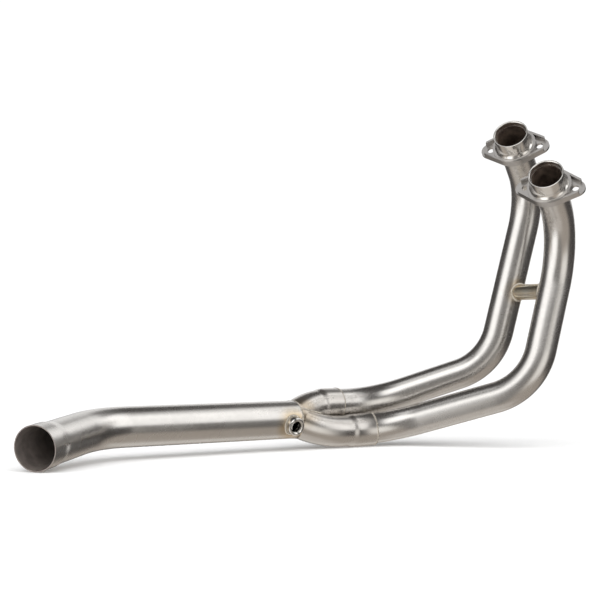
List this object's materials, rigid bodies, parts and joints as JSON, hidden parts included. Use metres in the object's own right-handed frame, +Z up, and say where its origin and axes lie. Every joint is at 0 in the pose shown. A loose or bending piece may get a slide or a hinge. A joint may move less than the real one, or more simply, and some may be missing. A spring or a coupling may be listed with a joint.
{
  "type": "motorcycle exhaust header",
  "caption": "Two bent head pipes with flanged ports, joined by a crossover and a merge collector into one angled tail pipe with a slip socket.",
  "frame": {"origin": "centre of the outlet socket's mouth", "axes": "+X along the tail pipe from the outlet towards the ports, +Z up, +Y to the side that the outlet turns away from"},
  "size_m": [0.7555, 0.3154, 0.442],
  "materials": {
    "brushed_tube": "satin brushed",
    "formed_branch": "satin brushed",
    "tinted_tube": "straw heat tint",
    "weld_bead": "heat-tinted weld",
    "polished_collar": "turned and polished",
    "blasted_flange": "investment cast, bead blasted",
    "turned_bung": "turned"
  },
  "bodies": {
    "root": {"tail_pipe": "brushed_tube", "merge_weld": "weld_bead", "upper_branch": "formed_branch", "lower_branch": "formed_branch", "merge_seam_weld": "weld_bead", "upper_socket_weld": "weld_bead", "lower_socket_weld": "weld_bead", "upper_head_pipe": "brushed_tube", "lower_head_pipe": "brushed_tube", "crossover_tube": "tinted_tube", "upper_crossover_weld": "weld_bead", "lower_crossover_weld": "weld_bead", "upper_port_collar": "polished_collar", "lower_port_collar": "polished_collar", "upper_port_flange": "blasted_flange", "lower_port_flange": "blasted_flange", "sensor_bung": "turned_bung", "sensor_bung_weld": "weld_bead"}
  },
  "joints": []
}
